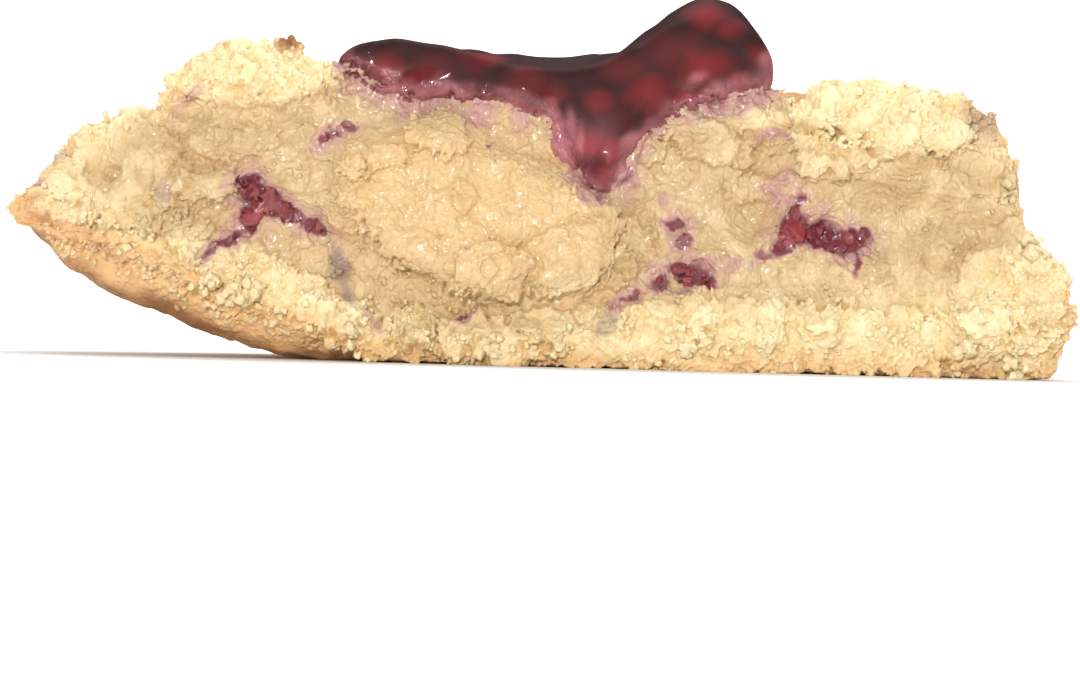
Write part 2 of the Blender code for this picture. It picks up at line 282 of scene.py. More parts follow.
# Juice in the crumb: pink and lavender where the amount is low, deep purple where it is high.
STAINS = patches(
    (-24.4, 13.2, 2.6, 3.2, 12, 0.34), (-20.2, 11.6, 3.6, 1.3, -28, 0.34),
    (-23.3, 11.8, 1.3, 1.0, 0, 0.36), (-42.1, 14.6, 0.9, 0.4, 10, 0.5), (-27.0, 9.6, 2.9, 1.1, 34, 0.36),
    (-31.6, 13.7, 0.6, 1.3, 0, 0.3), (-17.9, 18.9, 2.4, 0.9, 30, 0.34), (-14.6, 3.6, 2.2, 0.5, -46, 0.3),
    (11.6, 8.2, 3.8, 1.8, 12, 0.36), (7.2, 5.9, 2.3, 0.7, 32, 0.38), (11.8, 11.9, 1.6, 2.2, -20, 0.4),
    (10.0, 14.5, 0.6, 0.9, 0, 0.4), (16.0, 9.2, 3.2, 0.8, 8, 0.26), (22.0, 12.4, 3.8, 2.6, -10, 0.36),
    (26.0, 11.0, 2.8, 2.0, 0, 0.32), (19.9, 15.3, 2.1, 1.7, 0, 0.38), (19.1, 19.9, 1.7, 0.5, -12, 0.42),
    (15.6, 22.6, 3.6, 1.0, 12, 0.36), (5.2, 15.4, 2.6, 1.7, 0, 0.4), (-6.4, 3.8, 1.0, 0.5, 24, 0.5),
    (-17.6, 22.6, 0.9, 1.4, 0, 0.26), (-36.0, 8.6, 8.0, 0.8, -24, 0.12), (-30.6, 21.4, 2.4, 0.7, 40, 0.3),
    (-7.0, 20.9, 9.5, 1.0, -8, 0.14), (-4.6, 19.0, 0.35, 0.35, 0, 0.8),
)
# The jam at the heart of each vein.
HEARTS = patches(
    (-24.5, 14.6, 0.9, 1.0, 0, 1.0), (-23.7, 13.2, 1.7, 1.5, 0, 1.0), (-24.9, 11.6, 1.0, 1.2, 0, 1.0),
    (-21.8, 12.4, 1.6, 0.7, -28, 1.0), (-19.6, 11.3, 1.8, 0.5, -26, 0.9),
    (-26.4, 9.9, 1.5, 0.4, 38, 0.85), (-28.0, 8.9, 0.7, 0.4, 30, 0.8), (-18.2, 18.8, 1.3, 0.4, 32, 0.85),
    (-16.6, 19.6, 0.5, 0.4, 0, 0.8), (12.3, 8.4, 1.9, 0.7, -4, 0.85), (13.9, 7.7, 0.9, 0.5, -30, 0.9),
    (9.9, 7.6, 1.0, 0.4, 22, 0.8), (7.6, 6.1, 1.3, 0.28, 32, 0.75), (11.2, 12.4, 1.0, 0.7, 0, 0.85),
    (11.8, 11.0, 0.6, 0.8, -20, 0.8), (21.4, 13.9, 0.5, 1.2, 0, 0.85), (21.3, 12.0, 1.8, 1.3, 0, 1.0),
    (20.0, 10.5, 1.1, 0.6, 30, 0.9), (18.6, 9.9, 0.8, 0.4, 10, 0.75), (23.5, 11.7, 1.6, 0.9, 0, 1.0),
    (25.8, 11.2, 1.9, 1.1, 0, 1.0), (27.1, 11.9, 0.7, 0.5, 30, 0.9), (26.4, 9.6, 0.4, 1.1, 0, 0.85),
    (-6.5, 3.9, 0.9, 0.3, 24, 0.8), (21.4, 24.0, 0.7, 0.6, 0, 0.9),
)
# Grey traces where old juice has dried.
ASH = patches(
    (-17.2, 8.0, 0.8, 1.8, 12, 0.95), (-16.4, 5.6, 0.6, 1.4, 24, 0.85), (-31.9, 13.8, 0.8, 1.1, 0, 0.5),
    (5.6, 4.1, 0.7, 1.9, -32, 0.6), (-6.2, 21.3, 1.2, 0.8, 0, 0.35), (-40.5, 16.4, 1.0, 0.6, 30, 0.6),
    (36.8, 22.0, 1.9, 1.8, -30, 0.5), (20.0, 23.4, 0.7, 1.2, 0, 0.45), (15.0, 22.0, 5.0, 0.9, 8, 0.3),
    (-13.8, 22.0, 2.0, 1.2, -20, 0.35),
)
# Darker crust: browning and painted shade under the lifted corner, browning on the flake at the top's edge
# and along the outlines.
BAKED_AND_SHADED = patches(
    (-40.6, 8.2, 4.5, 1.3, -36, 0.7), (-36.4, 5.6, 4.5, 1.1, -20, 0.5), (-31.0, 4.0, 4.4, 1.6, -26, 1.0),
    (-39.0, 9.2, 4.4, 1.6, -30, 0.6), (-21.6, 26.6, 1.3, 1.5, 0, 0.9), (-19.6, 25.4, 2.4, 0.5, -24, 0.4),
)
CRUSTY = patches(
    (-21.6, 27.0, 1.0, 1.5, 0, 1.0), (-44.0, 11.8, 2.0, 1.9, -25, 0.9), (-39.4, 9.6, 4.6, 1.0, -30, 0.6),
    (-32.4, 23.6, 0.7, 2.6, -28, 0.7), (-36.2, 20.4, 3.6, 0.6, 8, 0.6), (-27.6, 26.6, 4.4, 0.6, 0, 0.5),
    (-41.8, 16.6, 0.9, 3.0, -40, 0.5), (37.0, 22.6, 2.0, 1.6, -30, 0.8), (28.6, 25.0, 5.0, 0.5, -6, 0.6),
    (40.4, 18.0, 0.7, 3.4, 14, 0.4), (44.2, 5.2, 1.0, 3.0, 0, 0.6),
)
# The jam's lower rim on the broken face: x and z in millimetres.
RIM = (
    (-17.5, 24.6), (-9.0, 22.6), (0.4, 20.4), (1.8, 17.5), (3.4, 14.8),
    (6.8, 14.8), (8.4, 18.4), (11.0, 21.2), (18.9, 23.6),
)
# The middle of the jam on the face, and half of its width.
JAM_X, JAM_HALF = 0.7, 18.6
# Painted highlights: pale streaks and glints put into the jam's colour over berries, the tongue and the
# rim.
PAINTED_HIGHLIGHTS = patches(
    (2.7, 18.3, 0.4, 2.0, -6, 0.75), (2.0, 20.2, 0.5, 1.3, 0, 0.7), (5.6, 16.2, 1.3, 0.8, 0, 0.8),
    (4.4, 18.6, 1.6, 2.4, 0, 0.3), (5.3, 17.6, 0.25, 1.2, 8, 0.5), (12.6, 24.7, 0.8, 0.5, 30, 0.5),
    (15.8, 23.9, 1.6, 0.6, 12, 0.45), (-13.6, 24.1, 0.9, 0.5, -20, 0.6), (-4.2, 23.0, 1.6, 0.4, -8, 0.5),
)
# Beads of berry that glow through the jam: x, z, radius in millimetres and brightness.
BEADS = (
    (13.2, 29.5, 1.6, 0.5), (14.9, 28.5, 1.2, 0.42), (13.0, 25.4, 2.3, 0.52), (8.4, 23.2, 2.0, 0.5),
    (4.3, 22.5, 1.3, 0.36), (17.8, 26.4, 1.3, 0.35), (11.8, 22.4, 1.3, 0.7), (0.6, 22.6, 1.3, 0.35),
    (-4.9, 26.2, 1.6, 0.55), (3.3, 18.6, 1.6, 0.75), (5.8, 18.2, 1.5, 0.65), (5.3, 15.9, 1.3, 0.6),
    (10.2, 26.4, 2.0, 0.2), (-9.8, 24.3, 1.9, 0.25), (-13.4, 24.6, 1.6, 0.4), (-1.8, 23.8, 1.8, 0.25),
    (15.8, 24.0, 1.5, 0.55), (6.6, 24.8, 1.9, 0.22),
)


@dataclass(frozen=True)
class Wire:
    """A shader value: a socket that takes part in sums."""

    paint: "Paint"
    socket: bpy.types.NodeSocket

    def _math(self, operation: str, *values: "Wire | float") -> "Wire":
        """A Math node on these values."""
        return self.paint.node("ShaderNodeMath", {"operation": operation}, dict(enumerate(values)))

    def __add__(self, other: "Wire | float") -> "Wire":
        """This plus other."""
        return self._math("ADD", self, other)

    __radd__ = __add__

    def __mul__(self, other: "Wire | float") -> "Wire":
        """This times other."""
        return self._math("MULTIPLY", self, other)

    __rmul__ = __mul__

    def __sub__(self, other: "Wire | float") -> "Wire":
        """This less other."""
        return self._math("SUBTRACT", self, other)

    def __rsub__(self, other: "Wire | float") -> "Wire":
        """Other less this."""
        return self._math("SUBTRACT", other, self)

    def __pow__(self, other: "Wire | float") -> "Wire":
        """This to the power of other."""
        return self._math("POWER", self, other)

    def clamped(self) -> "Wire":
        """This held between 0 and 1."""
        return self.paint.node("ShaderNodeClamp", {}, {"Value": self})

    def ramp(self, low: float, high: float) -> "Wire":
        """An S from 0 at low to 1 at high."""
        values = {"Value": self, "From Min": low, "From Max": high}
        return self.paint.node("ShaderNodeMapRange", {"interpolation_type": "SMOOTHSTEP"}, values)


class Paint:
    """A new material and the nodes that it is made of."""

    def __init__(self, name: str) -> None:
        """Starts a material with a Principled shader."""
        self.material = bpy.data.materials.new(name)
        self.material.use_nodes = True
        self.tree = self.material.node_tree
        self.shader = self.tree.nodes["Principled BSDF"]
        self.coords = self.node("ShaderNodeTexCoord", {}, {}, "Object")

    def node(self, kind: str, settings: dict, values: dict, output: int | str = 0) -> Wire:
        """Adds a node.

        Args:
            kind: the node's type.
            settings: its properties, which are set first.
            values: a number, colour or Wire for each socket, by name or place.
            output: the socket that it gives.

        Returns:
            The output, to use in sums or as another node's value.
        """
        made = self.tree.nodes.new(kind)
        for key, value in settings.items():
            setattr(made, key, value)
        for key, value in values.items():
            self.put(made.inputs[key], value)
        return Wire(self, made.outputs[output])

    def put(self, socket: bpy.types.NodeSocket, value: "Wire | float | tuple") -> None:
        """Links a Wire to a socket, or sets its number or colour."""
        if isinstance(value, Wire):
            self.tree.links.new(value.socket, socket)
        else:
            socket.default_value = value

    def set(self, **values: "Wire | float | tuple") -> None:
        """Sets the shader's sockets, whose names have _ for each space."""
        for key, value in values.items():
            self.put(self.shader.inputs[key.replace("_", " ")], value)

    def attribute(self, name: str) -> Wire:
        """A number that the mesh holds for each vertex."""
        return self.node("ShaderNodeAttribute", {"attribute_name": name}, {}, "Fac")

    def cloud(self, scale: float, detail: float) -> Wire:
        """Noise of this many lumps a metre, from 0 to 1."""
        values = {"Vector": self.coords, "Scale": scale, "Detail": detail}
        return self.node("ShaderNodeTexNoise", {}, values, "Fac")

    def cells(self, scale: float) -> Wire:
        """The distance to the nearest of this many points a metre."""
        return self.node("ShaderNodeTexVoronoi", {}, {"Vector": self.coords, "Scale": scale}, "Distance")

    def mix(self, first: "Wire | tuple", second: "Wire | tuple", share: "Wire | float") -> Wire:
        """A colour between two others; the node's sockets for colours are known by place."""
        values = {0: share, 6: first, 7: second}
        return self.node("ShaderNodeMix", {"data_type": "RGBA"}, values, 2)

    def bump(self, height: Wire, distance: float, strength: float = 1.0) -> Wire:
        """A normal that follows a height."""
        values = {"Height": height, "Distance": distance, "Strength": strength}
        return self.node("ShaderNodeBump", {}, values)


@dataclass(frozen=True)
class DoughFinish:
    """Crumb that is dry at the edges, pasty in the middle and browned outside."""

    dry: tuple = linear(252, 238, 196)
    dry_shade: tuple = linear(245, 219, 168)
    # Painted shade for the gaps between crumbs and the foot of each step.
    gap: tuple = linear(206, 172, 116)
    moist: tuple = linear(206, 176, 130)
    moist_light: tuple = linear(232, 206, 160)
    slab: tuple = linear(228, 195, 143)
    # Painted shade: the greyer tint of the recesses under the slab.
    hollow_shading: tuple = linear(222, 194, 150)
    stain: tuple = linear(120, 50, 62)
    pink: tuple = linear(204, 162, 152)
    ash: tuple = linear(168, 145, 134)
    browned: tuple = linear(246, 204, 150)
    crust: tuple = linear(236, 188, 134)
    crust_dark: tuple = linear(164, 112, 72)
    roughness: float = 0.85
    grain: float = 0.12 * MM

    def make(self) -> bpy.types.Material:
        """The dough's material."""
        paint = Paint("dough_crumb")
        moist, stain = paint.attribute("moist"), paint.attribute("stain")
        crust, slab, hollow_shading = paint.attribute("crust"), paint.attribute("slab"), paint.attribute("hollow_shading")
        fine, broad = paint.cloud(2600, 3), paint.cloud(420, 3)
        dry = paint.mix(self.dry_shade, self.dry, (fine * 0.6 + broad * 0.7).ramp(0.35, 0.85))
        wet = paint.mix(self.moist, self.moist_light, broad.ramp(0.4, 0.75))
        colour = paint.mix(dry, wet, moist)
        colour = paint.mix(colour, self.slab, slab * 0.8)
        # Painted shade: a greyer tint in the recesses under the slab.
        colour = paint.mix(colour, self.hollow_shading, hollow_shading * 0.7)
        colour = paint.mix(colour, self.browned, paint.attribute("browned") * (0.55 + broad * 0.6))
        # Painted shade: darker colour in the gaps between crumbs and at the foot of each step.
        colour = paint.mix(colour, self.gap, paint.attribute("gap"))
        # The crust darkens at random, where it is baked darker, and where shade is painted under the lifted
        # corner.
        dark = (broad * 0.8 + fine * 0.4).ramp(0.45, 1.0) + paint.attribute("baked") * 0.7
        baked = paint.mix(self.crust, self.crust_dark, dark.clamped())
        colour = paint.mix(colour, baked, crust)
        colour = paint.mix(colour, self.ash, paint.attribute("ash"))
        colour = paint.mix(colour, self.pink, stain.ramp(0.02, 0.4))
        colour = paint.mix(colour, self.stain, stain.ramp(0.35, 1.0))
        wetness = (moist * 0.8 + stain * 2.2 + slab * 0.4).clamped()
        glints = paint.cloud(1900, 2).ramp(0.42, 0.6)
        roughness = self.roughness - wetness * (0.25 + glints * 0.42)
        pits = paint.cells(2600) * 0.7 + paint.cloud(3800, 2) * 0.5
        beads = 1 - paint.cells(1500) ** 2
        normal = paint.bump(pits + beads * wetness * 0.35, self.grain)
        paint.set(Base_Color=colour, Roughness=roughness, Normal=normal, IOR=1.42)
        paint.set(Coat_Weight=wetness * glints, Coat_Roughness=0.2, Coat_IOR=1.5)
        paint.set(Subsurface_Weight=0.2, Subsurface_Radius=(1.0, 0.55, 0.25), Subsurface_Scale=0.5 * MM)
        return paint.material


@dataclass(frozen=True)
class JamFinish:
    """Dark glossy jam in which berries glow and which thins to pink at its rims, with painted highlights in
    that pink.
    """

    deep: tuple = linear(58, 30, 30)
    body: tuple = linear(100, 36, 40)
    bead: tuple = linear(160, 44, 52)
    # The pink of thin jam, also the colour of the painted highlights.
    thin: tuple = linear(198, 126, 134)
    roughness: float = 0.68
    polish: float = 0.5
    ripple: float = 0.3 * MM

    def make(self) -> bpy.types.Material:
        """The jam's material."""
        paint = Paint("berry_jam")
        glow, thin, low = paint.attribute("glow"), paint.attribute("thin"), paint.attribute("low")
        broad = paint.cloud(260, 3)
        colour = paint.mix(self.deep, self.body, low * (0.4 + broad * 1.1))
        colour = paint.mix(colour, self.bead, glow)
        # The pink of thin jam, which also carries the painted highlights.
        colour = paint.mix(colour, self.thin, thin * (0.25 + broad.ramp(0.3, 0.65) * 0.75))
        ripples = paint.cloud(420, 2) * low + paint.cloud(1500, 2) * (thin * 1.4 + 0.1)
        normal = paint.bump(ripples, self.ripple, 0.8)
        roughness = self.roughness - low * self.polish
        paint.set(Base_Color=colour, Roughness=roughness, Normal=normal)
        paint.set(IOR=1.36, Specular_IOR_Level=0.36)
        paint.set(Coat_Weight=low * 0.8, Coat_Roughness=0.06, Coat_IOR=1.4)
        paint.set(Subsurface_Weight=0.3, Subsurface_Radius=(1.0, 0.12, 0.1), Subsurface_Scale=1.2 * MM)
        return paint.material


def object_from(mesh: bmesh.types.BMesh, name: str) -> bpy.types.Object:
    """Puts a mesh into the scene as a smooth object at the origin and frees it.

    Args:
        mesh: the finished bmesh.
        name: the piece's name.

    Returns:
        The new object.
    """
    data = bpy.data.meshes.new(name)
    mesh.to_mesh(data)
    mesh.free()
    data.shade_smooth()
    obj = bpy.data.objects.new(name, data)
    bpy.context.scene.collection.objects.link(obj)
    return obj


def remeshed(
    nodes: list, name: str, voxel: float, fill: float = 0.0, sink: float = 0.0
) -> bmesh.types.BMesh:
    """The form of CAD nodes together, in even quads.

    Args:
        nodes: the nodes, which stay as they are.
        name: the piece's name.
        voxel: the quads' size, in metres.
        fill: how far every node after the first spreads, to close the space round it.
        sink: how far its front and its top draw back.

    Returns:
        A new bmesh.
    """
    merged = bmesh.new()
    for node in nodes:
        known = set(merged.verts)
        merged.from_mesh(node.data)
        added = [v for v in merged.verts if v not in known]
        bmesh.ops.remove_doubles(merged, verts=added, dist=WELD)
        if known:
            merged.normal_update()
            moved = [(v, v.normal.copy()) for v in merged.verts if v not in known]
            for vert, out in moved:
                outside = smooth(0.3, 0.7, max(-out.y, out.z if node.name == "jam" else 0.0))
                vert.co += out * (fill * (1 - outside) - sink * outside)
    obj = object_from(merged, name)
    modifier = obj.modifiers.new("Even quads", "REMESH")
    modifier.mode = "VOXEL"
    modifier.voxel_size = voxel
    data = bpy.data.meshes.new_from_object(obj.evaluated_get(bpy.context.evaluated_depsgraph_get()))
    bpy.data.objects.remove(obj)
    even = bmesh.new()
    even.from_mesh(data)
    bpy.data.meshes.remove(data)
    keep_largest(even)
    return even


def keep_largest(mesh: bmesh.types.BMesh) -> None:
    """Deletes every shell of a mesh but the largest."""
    left, shells = set(mesh.verts), []
    while left:
        shell, edge = set(), {left.pop()}
        while edge:
            shell |= edge
            edge = {e.other_vert(v) for v in edge for e in v.link_edges} - shell
        left -= shell
        shells.append(shell)
    shells.sort(key=len)
    bmesh.ops.delete(mesh, geom=[v for shell in shells[:-1] for v in shell], context="VERTS")


def soften(mesh: bmesh.types.BMesh, rounds: int) -> None:
    """Evens out a mesh's steps."""
    for _ in range(rounds):
        bmesh.ops.smooth_vert(
            mesh, verts=mesh.verts, factor=0.5, use_axis_x=True, use_axis_y=True, use_axis_z=True
        )


def places(mesh: bmesh.types.BMesh) -> tuple[np.ndarray, np.ndarray]:
    """A mesh's vertices and their normals, as rows of x, y and z."""
    mesh.normal_update()
    at = np.array([v.co[:] for v in mesh.verts])
    out = np.array([v.normal[:] for v in mesh.verts])
    return at, out


def tree_of(at: np.ndarray, chosen: Iterable[int]) -> KDTree:
    """The chosen ones of some places, to find the nearest."""
    tree = KDTree(len(at))
    for index in chosen:
        tree.insert(at[index].tolist(), index)
    tree.balance()
    return tree


def move(mesh: bmesh.types.BMesh, at: np.ndarray) -> None:
    """Puts a mesh's vertices at these places."""
    for vert, place in zip(mesh.verts, at.tolist()):
        vert.co = place


def store(obj: bpy.types.Object, **values: np.ndarray) -> None:
    """Writes numbers for each vertex, which the material reads by name."""
    for name, numbers in values.items():
        kept = obj.data.attributes.new(name, "FLOAT", "POINT")
        kept.data.foreach_set("value", np.ascontiguousarray(numbers, np.float32))


def dress(obj: bpy.types.Object, material: bpy.types.Material, slot: Slot, *nodes: str) -> None:
    """Gives a piece its material and its body, and hides the nodes that it replaces."""
    obj.data.materials.append(material)
    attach(obj, "root")
    if nodes:
        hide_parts(*nodes)
    obj.data.calc_loop_triangles()
    LOG.info("%s: %d triangles", obj.name, len(obj.data.loop_triangles))


@dataclass
class Jam:
    """The pool of jam with its dome and its tongue, and the veins in the dough."""

    nodes: dict
    material: bpy.types.Material
    voxel: float = 0.24 * MM
    vein_voxel: float = 0.14 * MM
    spread: float = 0.34 * MM
    vein_proud: float = 0.04 * MM
    hidden: float = 0.3 * MM
    furthest: float = 1.8 * MM
    reach: float = 1.3 * MM
    lean: float = 1.5 * MM
    ragged: float = 0.45 * MM
    ray_start: float = 20 * MM
    bead_height: float = 0.035
    rounded: int = 26
    vein_rounded: int = 3
    waist: tuple = (4.6, 5.0)
    waist_level: tuple = (18.4, 2.1)
    ripple: float = 0.1 * MM

    def pool(self, surface: BVHTree) -> None:
        """The pool on the top and down the face, whose lower rim thins out over the crumb.

        Args:
            surface: the finished broken face.
        """
        mesh = remeshed([self.nodes["jam"]], "jam_pool", self.voxel)
        soften(mesh, self.rounded)
        at, out = places(mesh)
        x, z = at[:, 0] / MM, at[:, 2] / MM
        front = 1 - smooth(1.0, 5.0, (at[:, 1] - BREAK_Y) / MM)
        (middle, width), (level, height) = self.waist, self.waist_level
        waist = np.exp(-(((z - level) / height) ** 2)) * np.exp(-(((x - middle) / width) ** 4)) * front
        at[:, 0] -= self.lean * waist * (0.5 + 0.5 * (1 - smooth(2.5, 5.5, x)))
        x = at[:, 0] / MM
        glow = 0.16 * smooth(0.1, 0.6, waves(at, 4.2 * MM, 8.0)) * front
        rise = np.zeros(len(at))
        for bead_x, bead_z, radius, bright in BEADS:
            away = np.hypot(x - bead_x, z - bead_z) / radius
            wide = np.hypot((x - bead_x) / 1.2, (z - bead_z) * 1.1) / radius
            uneven = wide + 0.3 * waves(at, 1.9 * MM, 11.0)
            glow = np.maximum(glow, bright * (1 - smooth(0.15, 1.25, uneven)) * front)
            rise = np.maximum(rise, radius * self.bead_height * np.exp(-1.8 * away**2) * front)
        facing = smooth(0.3, 0.7, -out[:, 1]) * front
        sides = (facing < 0.5) & (out[:, 2] < 0.15) & (front > 0.3)
        inwards = self.inwards(at, sides)
        core = smooth(0.0, 1.9, inwards)
        at += out * (self.spread + rise * MM + self.ripple * waves(at, 4.4 * MM))[:, None]
        lift = self.hidden + self.ragged * waves(at, 1.3 * MM, 6.0)
        self.drape(at, facing * (1 - core), lift, surface)
        self.tuck(at, sides & (front > 0.9), surface)
        thin = (1 - smooth(0.3, 1.9, inwards + 0.9 * waves(at, 1.5 * MM, 2.0))) * front
        thin *= (0.6 + 0.4 * smooth(-8.0, 0.0, x)) * (1 - 0.45 * smooth(8.0, 12.0, x))
        # Painted highlights: pale streaks put into the pink of thin jam.
        painted_highlights = np.max([highlight.weight(x, z, 0.8) for highlight in PAINTED_HIGHLIGHTS], axis=0)
        thin = np.maximum(thin, painted_highlights * front)
        rim = np.interp(x, *zip(*RIM))
        red = 2.2 + 2.6 * np.exp(-(((x - 7.0) / 8.0) ** 2))
        low = (1 - smooth(0.1, 1.0, (z - rim) / red)) * front
        move(mesh, at)
        obj = object_from(mesh, "jam_pool")
        store(obj, glow=glow * core, thin=thin, low=low)
        dress(obj, self.material, Slot.JAM, "jam")

    def inwards(self, at: np.ndarray, sides: np.ndarray) -> np.ndarray:
        """How far each place is from the nearest of those that are sides, in millimetres."""
        tree = tree_of(at, np.flatnonzero(sides).tolist())
        return np.array([tree.find(p)[2] for p in at.tolist()]) / MM

    def behind(self, at: np.ndarray, chosen: np.ndarray, surface: BVHTree) -> Iterable[tuple[int, float]]:
        """Each chosen place that has crumb before or behind it, with the y of that crumb's surface."""
        for index in np.flatnonzero(chosen).tolist():
            start = Vector((at[index, 0], BREAK_Y - self.ray_start, at[index, 2]))
            hit = surface.ray_cast(start, Vector((0, 1, 0)))[0]
            if hit:
                yield index, hit.y

    def drape(self, at: np.ndarray, share: np.ndarray, lift: np.ndarray, surface: BVHTree) -> None:
        """Lays places onto the crumb.

        Args:
            at: the places, which it changes.
            share: how much each follows the crumb.
            lift: how far behind the crumb's surface each then is, in metres.
            surface: the finished broken face.
        """
        for index, depth in self.behind(at, share > 0.01, surface):
            if depth < at[index, 1] + self.reach:
                part = float(share[index])
                at[index, 1] = (1 - part) * at[index, 1] + part * (depth + lift[index])

    def tuck(self, at: np.ndarray, chosen: np.ndarray, surface: BVHTree) -> None:
        """Draws the chosen places back until they lie behind the crumb's surface.

        Args:
            at: the places, which it changes.
            chosen: which of them may move.
            surface: the finished broken face.
        """
        for index, depth in self.behind(at, chosen, surface):
            if depth + self.hidden < at[index, 1] + self.furthest:
                at[index, 1] = max(at[index, 1], depth + self.hidden)

    def vein(self, name: str, surface: BVHTree) -> None:
        """One vein, spread until it fills its pocket, with a ragged wet front on the crumb.

        Args:
            name: the CAD node that it replaces.
            surface: the finished broken face.
        """
        mesh = remeshed([self.nodes[name]], name, self.vein_voxel)
        soften(mesh, self.vein_rounded)
        at, out = places(mesh)
        front = smooth(0.3, 0.7, -out[:, 1]) * (1 - smooth(1.0, 1.6, (at[:, 1] - BREAK_Y) / MM))
        sideways = out * np.array((1.0, 0.0, 1.0))
        at += sideways * (self.spread + 0.15 * MM * waves(at, 1.2 * MM))[:, None]
        heart = juice(at, HEARTS)
        shown = smooth(0.5, 0.9, heart)
        lift = self.hidden * (1 - shown) - self.vein_proud * shown + 0.2 * MM * waves(at, 0.8 * MM, 6.0)
        self.drape(at, front, lift, surface)
        self.tuck(at, (front < 1) | (shown < 0.5), surface)
        move(mesh, at)
        obj = object_from(mesh, name.replace("jam_", "seeped_"))
        thin = 0.2 + 0.5 * smooth(0.0, 0.5, waves(at, 1.6 * MM, 3.0)) + 0.5 * (1 - shown)
        glow = 0.25 + 0.4 * smooth(0.0, 0.5, waves(at, 2.6 * MM, 8.0))
        store(obj, glow=glow, thin=thin * front, low=np.ones(len(at)))
        dress(obj, self.material, Slot.JAM, name)


@dataclass(frozen=True)
class Grain:
    """How far layers, lumps and crumbs of two sizes stand out of one kind of crumb, in millimetres."""

    layers: float
    lumps: float
    middle: float
    small: float

    def height(self, *forms: np.ndarray) -> np.ndarray:
        """All of them together, from the form of each."""
        amounts = (self.layers, self.lumps, self.middle, self.small)
        return sum(amount * form for amount, form in zip(amounts, forms))


